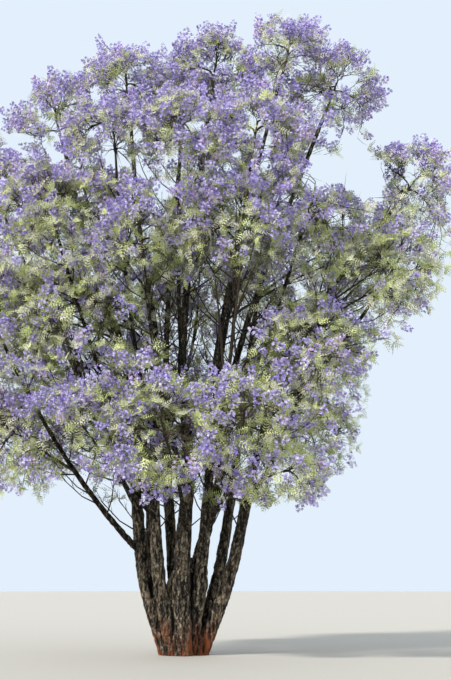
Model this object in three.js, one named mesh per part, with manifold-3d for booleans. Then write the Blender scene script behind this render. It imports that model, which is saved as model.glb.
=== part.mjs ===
import * as THREE from "three";
import { mergeVertices } from "three/addons/utils/BufferGeometryUtils.js";
import Module from "manifold-3d";

// A many-stemmed jacaranda in flower: nine stems rise from one root crown, fork into boughs and
// carry masses of blossom and leaf. Millimetres, +Z up. The origin is the centre of the flat cut
// under the trunk, at ground level. Azimuths are degrees, 0 to the right (+X), 90 to the back (+Y),
// 180 to the left and 270 to the front. Reach is the distance from the trunk's axis, and a girth
// is a radius.

// Trunk
const trunkTop = 1800; // the stems are one trunk below this
const footGirth = 0.8; // the feet are slimmer at the ground, by this share of the stem's own girth
const footHeight = 700;
const flare = 0.12; // and spread again just above it, by this share
const flareHeight = 100;
const trunkFacets = { sides: 10, steps: 7 };
// The wood between the feet widens upward like a vase. Each entry is a girth and a height.
const core = [[0, 0], [200, 0], [260, 600], [350, 1200], [340, 1560], [190, 1730], [0, 1780]];
const coreFacets = 12;
const coreStretch = 0.5; // wider from left to right, by this share for each metre of height
const coreLean = { x: 50, y: 40 }; // to the right and the back, for each metre of height

// Stems and boughs
const waistHeight = 1600; // where the stems turn upright
const chestHeight = 6000; // where they spread into the crown
const highShare = 0.45; // where they bend once more, between the chest and the mass
const sway = 150; // how far a stem strays from its line between those points
const stemFacets = { sides: 7, steps: 8 };
const stemTip = 0.22; // girth of a stem's tip against its foot
const bend = { out: 0.5, up: 0.32, aside: 0.07 }; // where a bough bends, as shares of its way
const boughFacets = { sides: 6, steps: 4 };
const boughTip = 0.5;
const leastTip = 30;
const taper = 1.9; // above 1, a limb thins sooner near its foot
const entry = 0.5; // a limb ends this share of a mass's size before its centre
const jointGap = 0.3; // between a limb and the next piece
const jointSlack = 0.1; // keeps that gap where two facets meet

// Foliage
const roundness = 0.9; // height of a mass against its width
const cellGap = 12; // left between neighbouring masses
const limbGap = 4; // twigs and sprays stay this far off every limb and each other
const stemThrough = 0.3; // the mass's own stem runs this far past its centre
const stemGirth = { tip: 0.96, side: 0.7, most: 42 }; // against the limb that carries it
const twigCount = 6;
const twigGirth = 18;
const twigReach = 0.45; // twigs end at this share of the mass's size
const twigRoots = { first: -0.4, last: 0.25 }; // where they leave the stem, in sizes from the centre
const backAngle = 48; // no twig within this many degrees of the way the stem came in
const standardSize = 1200; // the sprays' sizes are those in a mass of this size
const panicle = { length: 920, width: 700, depth: 520 };
const leafSpray = { length: 980, width: 760, depth: 140 };
const shrinks = [1, 0.84, 0.7, 0.56]; // a spray that has no room is tried smaller
const tipSunk = 70; // how far a twig's pointed tip is sunk in the spray at its end
const sideSunk = 3; // how far the root of a spray on its side runs past the twig's middle
const sidePlace = 0.55; // where that spray sits along the twig
const sideTurn = 62; // degrees between the two
const goldenAngle = Math.PI * (3 - Math.sqrt(5));

const barkFinish = { color: 0x5d5349, roughness: 0.95, metalness: 0 };
const flowerFinish = { color: 0x9384c4, roughness: 0.8, metalness: 0 };
const leafFinish = { color: 0xa3a860, roughness: 0.8, metalness: 0 };

// Each stem's foot has an azimuth and a reach. Its waist and chest are reaches on its own side of
// the trunk, and it ends in a mass. bloom is the share of flowers in that mass.
const stems = [
  { name: "left", side: 190, foot: [195, 330], waist: 825, chest: 1300, girth: 190,
    mass: { azimuth: 177, reach: 2800, height: 11150, size: 1350, bloom: 0.85 } },
  { name: "front_left", side: 224, foot: [228, 300], waist: 700, chest: 790, girth: 172,
    mass: { azimuth: 190, reach: 1300, height: 11850, size: 1350, bloom: 0.85 } },
  { name: "front", side: 264, foot: [266, 265], waist: 440, chest: 560, girth: 225,
    mass: { azimuth: 20, reach: 620, height: 12300, size: 1300, bloom: 0.85 } },
  { name: "front_right", side: 312, foot: [330, 140], waist: 500, chest: 980, girth: 160,
    mass: { azimuth: 350, reach: 2150, height: 12480, size: 1250, bloom: 0.85 } },
  { name: "right", side: 346, foot: [352, 330], waist: 955, chest: 2150, girth: 168,
    mass: { azimuth: 4, reach: 4750, height: 9700, size: 1350, bloom: 0.8 } },
  { name: "middle", side: 25, foot: [25, 50], waist: 240, chest: 1150, girth: 180,
    mass: { azimuth: 2, reach: 3150, height: 11850, size: 1300, bloom: 0.9 } },
  { name: "back_right", side: 38, foot: [42, 290], waist: 860, chest: 1650, girth: 158,
    mass: { azimuth: 46, reach: 3200, height: 10800, size: 1500, bloom: 0.8 } },
  { name: "back", side: 112, foot: [104, 285], waist: 640, chest: 1250, girth: 172,
    mass: { azimuth: 94, reach: 1700, height: 11950, size: 1500, bloom: 0.85 } },
  { name: "back_left", side: 146, foot: [150, 310], waist: 760, chest: 1550, girth: 160,
    mass: { azimuth: 140, reach: 3200, height: 10500, size: 1500, bloom: 0.8 } },
];

// Each bough leaves its stem at the height at, and ends in its own mass.
const boughs = [
  { name: "left_low", from: "left", at: 2000, girth: 68,
    mass: { azimuth: 190, reach: 4000, height: 6700, size: 1400, bloom: 0.5 } },
  { name: "left_high", from: "left", at: 4600, girth: 52,
    mass: { azimuth: 182, reach: 4000, height: 9300, size: 1400, bloom: 0.8 } },
  { name: "left_front", from: "left", at: 4000, girth: 50,
    mass: { azimuth: 213, reach: 3150, height: 8650, size: 1300, bloom: 0.75 } },
  { name: "front_left_high", from: "front_left", at: 4300, girth: 50,
    mass: { azimuth: 235, reach: 2400, height: 9900, size: 1250, bloom: 0.8 } },
  { name: "front_left_low", from: "front_left", at: 2700, girth: 50,
    mass: { azimuth: 228, reach: 2750, height: 4250, size: 1400, bloom: 0.6 } },
  { name: "front_high", from: "front", at: 4700, girth: 52,
    mass: { azimuth: 268, reach: 2200, height: 10000, size: 1250, bloom: 0.85 } },
  { name: "front_low", from: "front", at: 2500, girth: 55,
    mass: { azimuth: 264, reach: 2750, height: 4100, size: 1400, bloom: 0.65 } },
  { name: "front_right_high", from: "front_right", at: 4900, girth: 50,
    mass: { azimuth: 306, reach: 2400, height: 10100, size: 1250, bloom: 0.85 } },
  { name: "front_right_low", from: "front_right", at: 2500, girth: 52,
    mass: { azimuth: 292, reach: 3050, height: 4350, size: 1250, bloom: 0.7 } },
  { name: "right_high", from: "right", at: 4700, girth: 52,
    mass: { azimuth: 349, reach: 4250, height: 7600, size: 1300, bloom: 0.35 } },
  { name: "right_low", from: "right", at: 3000, girth: 50,
    mass: { azimuth: 328, reach: 2950, height: 5900, size: 1300, bloom: 0.55 } },
  { name: "middle_right", from: "middle", at: 4400, girth: 52,
    mass: { azimuth: 338, reach: 2750, height: 9000, size: 1350, bloom: 0.75 } },
  { name: "back_right_low", from: "back_right", at: 3200, girth: 60,
    mass: { azimuth: 40, reach: 3750, height: 6800, size: 1500, bloom: 0.5 } },
  { name: "back_mid", from: "back", at: 4700, girth: 60,
    mass: { azimuth: 86, reach: 3300, height: 8500, size: 1600, bloom: 0.65 } },
  { name: "back_low", from: "back", at: 2400, girth: 55,
    mass: { azimuth: 100, reach: 3200, height: 5200, size: 1450, bloom: 0.5 } },
  { name: "back_left_low", from: "back_left", at: 3200, girth: 60,
    mass: { azimuth: 148, reach: 3750, height: 7400, size: 1500, bloom: 0.5 } },
];

// A fork grows as a bough does, but is one piece with its stem.
const forks = [
  { name: "left_mid", from: "left", at: 2900, girth: 58,
    mass: { azimuth: 212, reach: 2900, height: 6550, size: 1250, bloom: 0.45 } },
  { name: "front_mid", from: "front", at: 3300, girth: 64,
    mass: { azimuth: 252, reach: 2600, height: 8000, size: 1150, bloom: 0.8 } },
  { name: "front_right_mid", from: "front_right", at: 3500, girth: 60,
    mass: { azimuth: 294, reach: 2700, height: 8200, size: 1150, bloom: 0.8 } },
  { name: "back_right_mid", from: "back_right", at: 4300, girth: 60,
    mass: { azimuth: 22, reach: 4000, height: 9000, size: 1300, bloom: 0.7 } },
];

// These masses have no limb of their own: their stem leaves the side of a bough at the height at.
const sideMasses = [
  { name: "left_drop", from: "left_low", at: 3600,
    mass: { azimuth: 201, reach: 3350, height: 4200, size: 1300, bloom: 0.6 } },
  { name: "front_right_drop", from: "front_right_low", at: 3000,
    mass: { azimuth: 307, reach: 3050, height: 3400, size: 1050, bloom: 0.7 } },
  { name: "back_left_drop", from: "back_left_low", at: 4300,
    mass: { azimuth: 156, reach: 3200, height: 4800, size: 1350, bloom: 0.5 } },
  { name: "back_right_drop", from: "back_right_low", at: 4300,
    mass: { azimuth: 34, reach: 3100, height: 4600, size: 1350, bloom: 0.5 } },
];

const wasm = await Module();
wasm.setup();

const up = new THREE.Vector3(0, 0, 1);
const { lerp, clamp, degToRad } = THREE.MathUtils;

// A plain repeatable source of numbers from -1 to 1.
function seededNumbers(seed) {
  let state = seed;
  return () => {
    state = (state * 1664525 + 1013904223) % 2 ** 32;
    return state / 2 ** 31 - 1;
  };
}

function polar(azimuth, reach, height) {
  const angle = degToRad(azimuth);
  return new THREE.Vector3(reach * Math.cos(angle), reach * Math.sin(angle), height);
}

function solidOf(geometry) {
  const bare = new THREE.BufferGeometry();
  const loose = geometry.index ? geometry.toNonIndexed() : geometry;
  bare.setAttribute("position", loose.getAttribute("position"));
  const merged = mergeVertices(bare, 1e-3);
  return new wasm.Manifold(new wasm.Mesh({
    numProp: 3,
    vertProperties: merged.attributes.position.array,
    triVerts: new Uint32Array(merged.index.array),
  }));
}

function geometryOf(solid) {
  const mesh = solid.getMesh();
  const geometry = new THREE.BufferGeometry();
  geometry.setAttribute("position", new THREE.BufferAttribute(mesh.vertProperties, 3));
  geometry.setIndex(new THREE.BufferAttribute(mesh.triVerts, 1));
  return geometry;
}

// A cut can leave a scrap beyond the limb that cuts: only the main piece is kept.
function largest(solid) {
  const pieces = solid.decompose();
  return pieces.reduce((best, piece) => (piece.volume() > best.volume() ? piece : best));
}

function boxed(solid) {
  return { solid, box: solid.boundingBox() };
}

function near(a, b, gap) {
  return [0, 1, 2].every((i) => a.min[i] - gap < b.max[i] && b.min[i] - gap < a.max[i]);
}

function clearOf(solid, others, gap) {
  const box = solid.boundingBox();
  return others.every((other) => (
    !near(box, other.box, gap) || solid.minGap(other.solid, gap) >= gap));
}

// The parameter at which a rising curve passes a height, by halving.
function atHeight(curve, height) {
  let low = 0;
  let high = 1;
  for (let i = 0; i < 30; i += 1) {
    const middle = (low + high) / 2;
    if (curve.getPoint(middle).z < height) low = middle;
    else high = middle;
  }
  return low;
}

// A cylinder bent along a stretch of a curve, with its radius at each parameter given by girth.
// Its ends are square to the curve, or level where they are called flat.
function bentTube({ curve, from = 0, to = 1, girth, facets, flatFoot = false, flatTop = false }) {
  const geometry = new THREE.CylinderGeometry(1, 1, 1, facets.sides, facets.steps);
  const position = geometry.getAttribute("position");
  const across = up.clone().cross(curve.getPoint(1).sub(curve.getPoint(0))).normalize();
  for (let i = 0; i < position.count; i += 1) {
    const share = clamp(position.getY(i) + 0.5, 0, 1);
    const t = lerp(from, to, share);
    const level = (flatFoot && share < 1e-6) || (flatTop && share > 1 - 1e-6);
    const along = level ? up : curve.getTangent(t);
    const second = along.clone().cross(across).normalize();
    const first = second.clone().cross(along);
    const point = curve.getPoint(t);
    point.addScaledVector(first, position.getX(i) * girth(t));
    point.addScaledVector(second, -position.getZ(i) * girth(t));
    position.setXYZ(i, point.x, point.y, point.z);
  }
  return solidOf(geometry);
}

// A limb is drawn by its curve and by a girth that falls from foot to tip.
class Limb {
  constructor(name, curve, footGirth, tipGirth, facets, start = 0) {
    Object.assign(this, { name, curve, footGirth, tipGirth, facets, start });
  }

  girthAt(t) {
    return lerp(this.tipGirth, this.footGirth, (1 - t) ** taper);
  }

  tube(extra = 0, flatFoot = false) {
    const girth = (t) => this.girthAt(t) + extra;
    return bentTube({ curve: this.curve, from: this.start, girth, facets: this.facets, flatFoot });
  }

  // The same limb, grown so that what is cut by it keeps the joint gap.
  collar() {
    return this.tube(jointGap / Math.cos(Math.PI / this.facets.sides) + jointSlack);
  }
}

function massOf({ name, mass }) {
  const centre = polar(mass.azimuth, mass.reach, mass.height);
  return { name, centre, size: mass.size, bloom: mass.bloom };
}

// Where a limb that comes from a point stops inside its mass, heading for the centre.
function limbEnd(point, mass) {
  const back = point.clone().sub(mass.centre).normalize();
  return mass.centre.clone().addScaledVector(back, entry * mass.size);
}

function stemLimb(stem, index) {
  const mass = massOf(stem);
  const numbers = seededNumbers(index + 1);
  const stray = (point) => point.add(new THREE.Vector3(numbers() * sway, numbers() * sway, 0));
  const foot = polar(...stem.foot, 0);
  const waist = polar(stem.side, stem.waist, waistHeight);
  const chest = polar(stem.side, stem.chest, chestHeight);
  const high = stray(chest.clone().lerp(mass.centre, highShare));
  const middle = stray(waist.clone().lerp(chest, 0.5));
  const points = [foot, waist, middle, chest, high, limbEnd(high, mass)];
  const curve = new THREE.CatmullRomCurve3(points, false, "catmullrom", 0.5);
  const start = atHeight(curve, trunkTop + jointGap);
  const tip = stem.girth * stemTip;
  return { limb: new Limb("stem_" + stem.name, curve, stem.girth, tip, stemFacets, start), mass };
}

// A bough runs out from its stem, bends to one side and turns up towards its mass.
function boughLimb(bough, parent, index) {
  const mass = massOf(bough);
  const start = parent.curve.getPoint(atHeight(parent.curve, bough.at));
  const aside = mass.centre.clone().sub(start).cross(up);
  const elbow = start.clone().lerp(mass.centre, bend.out);
  elbow.z = lerp(start.z, mass.centre.z, bend.up);
  elbow.addScaledVector(aside, index % 2 ? bend.aside : -bend.aside);
  const curve = new THREE.QuadraticBezierCurve3(start, elbow, limbEnd(elbow, mass));
  const tip = Math.max(leastTip, bough.girth * boughTip);
  return { limb: new Limb("bough_" + bough.name, curve, bough.girth, tip, boughFacets), mass };
}

function coreSolid() {
  const outline = core.map(([girth, height]) => new THREE.Vector2(girth, height));
  const geometry = new THREE.LatheGeometry(outline, coreFacets).rotateX(Math.PI / 2);
  const position = geometry.getAttribute("position");
  for (let i = 0; i < position.count; i += 1) {
    const metres = position.getZ(i) / 1000;
    position.setX(i, position.getX(i) * (1 + coreStretch * metres) + coreLean.x * metres);
    position.setY(i, position.getY(i) + coreLean.y * metres);
  }
  return solidOf(geometry);
}

// The root crown: the feet of all the stems and the core between them, joined in one piece.
function trunkSolid(limbs) {
  const feet = limbs.map((limb) => {
    const { curve } = limb;
    const share = (t) => {
      const { z } = curve.getPoint(t);
      return 1 + (footGirth - 1) * Math.exp(-z / footHeight) + flare * Math.exp(-z / flareHeight);
    };
    return bentTube({
      curve,
      to: atHeight(curve, trunkTop),
      girth: (t) => limb.girthAt(t) * share(t),
      facets: trunkFacets,
      flatFoot: true,
      flatTop: true,
    });
  });
  return wasm.Manifold.union([...feet, coreSolid()]);
}

// One three-sided twig, from its root to a point.
function twigSolid(root, tip, girth) {
  const along = tip.clone().sub(root);
  const geometry = new THREE.CylinderGeometry(0, girth, along.length(), 3, 1);
  geometry.translate(0, along.length() / 2, 0);
  geometry.applyQuaternion(new THREE.Quaternion().setFromUnitVectors(
    new THREE.Vector3(0, 1, 0), along.clone().normalize()));
  geometry.translate(root.x, root.y, root.z);
  return solidOf(geometry);
}

// An eight-faced spray of blossom or leaf that points out along a direction.
function spraySolid(root, direction, form, scale, sunk) {
  const geometry = new THREE.OctahedronGeometry(0.5);
  geometry.scale(form.length * scale, form.width * scale, form.depth * scale);
  geometry.translate((form.length * scale) / 2 - sunk, 0, 0);
  const side = up.clone().cross(direction);
  if (side.length() < 0.05) side.set(1, 0, 0);
  side.normalize();
  const top = direction.clone().cross(side).normalize();
  geometry.applyMatrix4(new THREE.Matrix4().makeBasis(direction, side, top).setPosition(root));
  return solidOf(geometry);
}

// Evenly spread directions, turned from mass to mass so that no two look alike.
function spreadDirection(index, count, turn) {
  const height = 1 - (2 * index + 1) / count;
  const ring = Math.sqrt(1 - height * height);
  const angle = index * goldenAngle + turn;
  return new THREE.Vector3(ring * Math.cos(angle), ring * Math.sin(angle), height);
}

// Below 0 inside a mass, and larger the further out a point lies.
function outness(point, mass) {
  const offset = point.clone().sub(mass.centre);
  offset.z /= roundness;
  return offset.lengthSq() - mass.size ** 2;
}

// A mass keeps to its own space, and meets its neighbours at flat walls between them.
function insideSpace(point, mass, masses) {
  const own = outness(point, mass);
  return own < 0 && masses.every((other) => (
    other === mass
    || own + 2 * cellGap * other.centre.distanceTo(mass.centre) < outness(point, other)));
}

function cornersOf(solid) {
  const { numVert, vertProperties } = solid.getMesh();
  return Array.from({ length: numVert }, (_, i) => (
    new THREE.Vector3().fromArray(vertProperties, i * 3)));
}

// The stem that all of a mass hangs on: a straight one on from its bough's tip, or out of the
// side of a limb.
function withStem(mass, parent, height) {
  const onTip = height === undefined;
  const t = onTip ? 1 : atHeight(parent.curve, height);
  const root = parent.curve.getPoint(t);
  const along = mass.centre.clone().sub(root).normalize();
  if (onTip) root.addScaledVector(along, jointGap);
  const end = mass.centre.clone().addScaledVector(along, stemThrough * mass.size);
  const sideGirth = Math.min(parent.girthAt(t) * stemGirth.side, stemGirth.most);
  const solid = twigSolid(root, end, onTip ? parent.tipGirth * stemGirth.tip : sideGirth);
  const stem = onTip ? solid : largest(solid.subtract(parent.collar()));
  return { ...mass, along, end, stem: boxed(stem) };
}

// Twigs branch off the mass's stem to evenly spread points, with a spray at the end and on one
// side of each. What would leave the mass's space, or touch a limb or another spray, is skipped.
function foliageSolid(mass, index, masses, limbs) {
  const numbers = seededNumbers(100 + index);
  const otherStems = masses.filter((other) => other !== mass).map(({ stem }) => stem);
  const twigs = [];
  const sprays = [];

  const fits = (solid, neighbours) => (
    cornersOf(solid).every((corner) => insideSpace(corner, mass, masses))
    && clearOf(solid, [...limbs, ...otherStems, ...neighbours], limbGap));

  const addSpray = (root, direction, carrier, sunk) => {
    const form = numbers() < 2 * mass.bloom - 1 ? panicle : leafSpray;
    const neighbours = [mass.stem, ...twigs, ...sprays].filter((piece) => piece !== carrier);
    const sizes = shrinks.map((shrink) => (shrink * mass.size) / standardSize);
    const spray = sizes.map((scale) => spraySolid(root, direction, form, scale, sunk))
      .find((solid) => fits(solid, neighbours));
    if (spray) sprays.push(boxed(spray));
  };

  for (let i = 0; i < twigCount; i += 1) {
    const direction = spreadDirection(i, twigCount, index * goldenAngle);
    const forward = direction.dot(mass.along);
    const rise = lerp(twigRoots.first, twigRoots.last, (1 + forward) / 2) * mass.size;
    const root = mass.centre.clone().addScaledVector(mass.along, rise);
    const reach = direction.clone().multiplyScalar(twigReach * mass.size);
    reach.z *= roundness;
    const tip = mass.centre.clone().add(reach);
    const twig = boxed(twigSolid(root, tip, twigGirth));
    const outward = tip.clone().sub(root).normalize();
    const aside = outward.clone().cross(direction.clone().cross(up)).normalize();
    const side = Math.sign(numbers()) * Math.sin(degToRad(sideTurn));
    const turned = outward.clone().multiplyScalar(Math.cos(degToRad(sideTurn)));
    turned.addScaledVector(aside, side).normalize();
    if (forward > -Math.cos(degToRad(backAngle)) && fits(twig.solid, sprays)) {
      twigs.push(twig);
      addSpray(tip, outward, twig, tipSunk);
      addSpray(root.clone().lerp(tip, sidePlace), turned, twig, sideSunk);
    }
  }
  addSpray(mass.end, mass.along, mass.stem, tipSunk);
  return largest(wasm.Manifold.union([mass.stem, ...twigs, ...sprays].map(({ solid }) => solid)));
}

const bark = new THREE.MeshStandardMaterial(barkFinish);
const flower = new THREE.MeshStandardMaterial(flowerFinish);
const leaf = new THREE.MeshStandardMaterial(leafFinish);
const tree = new THREE.Group();

function addNode(name, solid, material) {
  const mesh = new THREE.Mesh(geometryOf(solid), material);
  mesh.name = name;
  tree.add(mesh);
  return boxed(solid);
}

const grownStems = stems.map(stemLimb);
const stemByName = new Map(stems.map(({ name }, index) => [name, grownStems[index].limb]));
const grownForks = forks.map((fork, index) => boughLimb(fork, stemByName.get(fork.from), index));
const limbSolids = [addNode("trunk", trunkSolid([...stemByName.values()]), bark)];
for (const [name, limb] of stemByName) {
  const own = grownForks.filter((_, index) => forks[index].from === name);
  const solids = [limb.tube(0, true), ...own.map((fork) => fork.limb.tube())];
  limbSolids.push(addNode(limb.name, wasm.Manifold.union(solids), bark));
}

const boughByName = new Map();
const grownBoughs = boughs.map((bough, index) => {
  const parent = stemByName.get(bough.from);
  const grown = boughLimb(bough, parent, index);
  const solid = largest(grown.limb.tube().subtract(parent.collar()));
  limbSolids.push(addNode(grown.limb.name, solid, bark));
  boughByName.set(bough.name, grown.limb);
  return grown;
});

const masses = [
  ...[...grownStems, ...grownBoughs, ...grownForks].map(({ limb, mass }) => withStem(mass, limb)),
  ...sideMasses.map((side) => withStem(massOf(side), boughByName.get(side.from), side.at)),
];
masses.forEach((mass, index) => {
  const solid = foliageSolid(mass, index, masses, limbSolids);
  const flowering = mass.bloom > 0.5;
  addNode((flowering ? "blossom_" : "leaves_") + mass.name, solid, flowering ? flower : leaf);
});

export default tree;
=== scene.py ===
import math

import bmesh
import bpy
import numpy as np
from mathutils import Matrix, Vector, noise


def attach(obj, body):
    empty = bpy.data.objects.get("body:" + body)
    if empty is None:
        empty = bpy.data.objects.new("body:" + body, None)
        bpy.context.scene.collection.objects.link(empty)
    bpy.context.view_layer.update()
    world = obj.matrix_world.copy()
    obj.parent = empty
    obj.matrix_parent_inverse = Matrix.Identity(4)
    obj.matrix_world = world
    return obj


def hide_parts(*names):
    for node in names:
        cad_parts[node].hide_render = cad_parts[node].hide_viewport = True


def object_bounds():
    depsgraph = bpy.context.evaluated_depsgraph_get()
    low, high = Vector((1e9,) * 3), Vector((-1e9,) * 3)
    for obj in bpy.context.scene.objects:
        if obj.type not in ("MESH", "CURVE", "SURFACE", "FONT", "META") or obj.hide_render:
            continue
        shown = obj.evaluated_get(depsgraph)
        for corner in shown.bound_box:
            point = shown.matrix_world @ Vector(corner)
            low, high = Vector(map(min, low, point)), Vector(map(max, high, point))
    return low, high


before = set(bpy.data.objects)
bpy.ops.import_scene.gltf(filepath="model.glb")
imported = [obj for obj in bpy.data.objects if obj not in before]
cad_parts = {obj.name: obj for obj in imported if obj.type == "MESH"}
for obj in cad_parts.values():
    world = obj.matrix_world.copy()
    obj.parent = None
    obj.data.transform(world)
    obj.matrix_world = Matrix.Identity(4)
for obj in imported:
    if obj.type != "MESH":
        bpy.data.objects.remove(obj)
cadBox = [list(corner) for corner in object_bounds()]
print("frame loaded:", len(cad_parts), "solids")

# The tree grows as its solids do. Metres and degrees: azimuth 0 is right, 90 back, 180 left and
# 270 front. A girth is a radius, and reach is the distance from the trunk's axis.
habit = {
    "footGirth": 0.8, "footHeight": 0.7, "flare": 0.12, "flareHeight": 0.1,
    "waistHeight": 1.6, "chestHeight": 6.0, "highShare": 0.45, "sway": 0.15, "stemTip": 0.22,
    "bendOut": 0.5, "bendUp": 0.32, "bendAside": 0.07,
    "boughTip": 0.5, "leastTip": 0.03, "taper": 1.9, "entry": 0.5, "roundness": 0.9,
    "stemThrough": 0.3, "sideGirth": 0.7, "mostGirth": 0.042, "mains": 6, "mainReach": 0.45,
    "firstRoot": -0.4, "lastRoot": 0.25, "backAngle": 48,
}
goldenAngle = math.pi * (3 - math.sqrt(5))
anyTurn = (0, 6.28)  # radians
up = Vector((0, 0, 1))
seeds = {"bridges": 650, "masses": 700, "shoots": 900, "risers": 1100, "sprays": 41,
         "panicles": 0, "tufts": 60, "collars": 80, "boughs": 20, "forks": 40}

# name, side, foot (azimuth and reach), waist, chest, girth, then its mass: azimuth, reach, height,
# size and bloom
stemRows = [
    ("left", 190, (195, 0.330), 0.825, 1.300, 0.190, (177, 2.80, 11.15, 1.35, 0.85)),
    ("front_left", 224, (228, 0.300), 0.700, 0.790, 0.172, (190, 1.30, 11.85, 1.35, 0.85)),
    ("front", 264, (266, 0.265), 0.440, 0.560, 0.225, (20, 0.62, 12.30, 1.30, 0.85)),
    ("front_right", 312, (330, 0.140), 0.500, 0.980, 0.160, (350, 2.15, 12.48, 1.25, 0.85)),
    ("right", 346, (352, 0.330), 0.955, 2.150, 0.168, (4, 4.75, 9.70, 1.35, 0.80)),
    ("middle", 25, (25, 0.050), 0.240, 1.150, 0.180, (2, 3.15, 11.85, 1.30, 0.90)),
    ("back_right", 38, (42, 0.290), 0.860, 1.650, 0.158, (46, 3.20, 10.80, 1.50, 0.80)),
    ("back", 112, (104, 0.285), 0.640, 1.250, 0.172, (94, 1.70, 11.95, 1.50, 0.85)),
    ("back_left", 146, (150, 0.310), 0.760, 1.550, 0.160, (140, 3.20, 10.50, 1.50, 0.80)),
]
# name, the stem that it leaves, the height there, girth, its mass
boughRows = [
    ("left_low", "left", 2.0, 0.068, (190, 4.00, 6.70, 1.40, 0.50)),
    ("left_high", "left", 4.6, 0.052, (182, 4.00, 9.30, 1.40, 0.80)),
    ("left_front", "left", 4.0, 0.050, (213, 3.15, 8.65, 1.30, 0.75)),
    ("front_left_high", "front_left", 4.3, 0.050, (235, 2.40, 9.90, 1.25, 0.80)),
    ("front_left_low", "front_left", 2.7, 0.050, (228, 2.75, 4.25, 1.40, 0.60)),
    ("front_high", "front", 4.7, 0.052, (268, 2.20, 10.00, 1.25, 0.85)),
    ("front_low", "front", 2.5, 0.055, (264, 2.75, 4.10, 1.40, 0.65)),
    ("front_right_high", "front_right", 4.9, 0.050, (306, 2.40, 10.10, 1.25, 0.85)),
    ("front_right_low", "front_right", 2.5, 0.052, (292, 3.05, 4.35, 1.25, 0.70)),
    ("right_high", "right", 4.7, 0.052, (349, 4.25, 7.60, 1.30, 0.35)),
    ("right_low", "right", 3.0, 0.050, (328, 2.95, 5.90, 1.30, 0.55)),
    ("middle_right", "middle", 4.4, 0.052, (338, 2.75, 9.00, 1.35, 0.75)),
    ("back_right_low", "back_right", 3.2, 0.060, (40, 3.75, 6.80, 1.50, 0.50)),
    ("back_mid", "back", 4.7, 0.060, (86, 3.30, 8.50, 1.60, 0.65)),
    ("back_low", "back", 2.4, 0.055, (100, 3.20, 5.20, 1.45, 0.50)),
    ("back_left_low", "back_left", 3.2, 0.060, (148, 3.75, 7.40, 1.50, 0.50)),
]
# forks, which are in one piece with their stem
forkRows = [
    ("left_mid", "left", 2.9, 0.058, (212, 2.90, 6.55, 1.25, 0.45)),
    ("front_mid", "front", 3.3, 0.064, (252, 2.60, 8.00, 1.15, 0.80)),
    ("front_right_mid", "front_right", 3.5, 0.060, (294, 2.70, 8.20, 1.15, 0.80)),
    ("back_right_mid", "back_right", 4.3, 0.060, (22, 4.00, 9.00, 1.30, 0.70)),
]
# name, the bough that its own stem leaves, the height there, its mass
sideRows = [
    ("left_drop", "left_low", 3.6, (201, 3.35, 4.20, 1.30, 0.60)),
    ("front_right_drop", "front_right_low", 3.0, (307, 3.05, 3.40, 1.05, 0.70)),
    ("back_left_drop", "back_left_low", 4.3, (156, 3.20, 4.80, 1.35, 0.50)),
    ("back_right_drop", "back_right_low", 4.3, (34, 3.10, 4.60, 1.35, 0.50)),
]


def seededNumbers(seed):
    state = seed
    while True:
        state = (state * 1664525 + 1013904223) % 2 ** 32
        yield state / 2 ** 31 - 1


def newDice(use, number=0):
    return np.random.RandomState(seeds[use] + number)


def wobble(dice, amount):
    return Vector(dice.uniform(-amount, amount, 3))


def weighted(vectors, weights):
    return sum((vector * weight for vector, weight in zip(vectors, weights)), Vector((0, 0, 0)))


def polar(azimuth, reach, height):
    angle = math.radians(azimuth)
    return Vector((reach * math.cos(angle), reach * math.sin(angle), height))


def reachOf(point):
    return math.hypot(point.x, point.y)


def splinePath(points):  # a smooth curve through all the points
    padded = [points[0] * 2 - points[1]] + points + [points[-1] * 2 - points[-2]]

    def at(t):
        i = min(int(t * (len(points) - 1)), len(points) - 2)
        s = t * (len(points) - 1) - i
        before, a, b, after = padded[i:i + 4]
        leave, arrive = (b - before) / 2, (after - a) / 2
        return (a + leave * s + (3 * (b - a) - 2 * leave - arrive) * s ** 2
                + (2 * (a - b) + leave + arrive) * s ** 3)

    return at


def bendPath(start, elbow, end):  # one bend, drawn towards the elbow
    return lambda t: start * (1 - t) ** 2 + elbow * (2 * t * (1 - t)) + end * t ** 2


def firstPart(path, share):  # a path as far as a share of it
    return lambda t: path(t * share)


class Limb:
    def __init__(self, name, at, foot, tip):
        self.name, self.at, self.foot, self.tip = name, at, foot, tip

    def girthAt(self, t):
        return self.tip + (self.foot - self.tip) * (1 - t) ** habit["taper"]

    def tangent(self, t):
        return (self.at(min(t + 1e-4, 1)) - self.at(max(t - 1e-4, 0))).normalized()

    def shareAt(self, height):  # where a rising limb passes a height
        low, high = 0.0, 1.0
        for _ in range(30):
            middle = (low + high) / 2
            low, high = (middle, high) if self.at(middle).z < height else (low, middle)
        return low


class Mass:
    def __init__(self, name, row):
        azimuth, reach, height, self.size, self.bloom = row
        self.centre = polar(azimuth, reach, height)
        self.inFlower = self.bloom > 0.5
        self.node = ("blossom_" if self.inFlower else "leaves_") + name

    def entryFrom(self, point):  # where a limb from a point ends inside the mass
        return self.centre + (point - self.centre).normalized() * habit["entry"] * self.size

    def hangOn(self, limb, height=None):  # the stem that the whole mass hangs on
        t = 1 if height is None else limb.shareAt(height)
        self.root = limb.at(t)
        self.along = (self.centre - self.root).normalized()
        self.end = self.centre + self.along * habit["stemThrough"] * self.size
        side = min(limb.girthAt(t) * habit["sideGirth"], habit["mostGirth"])
        self.girth = limb.tip if height is None else side
        return self


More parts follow.
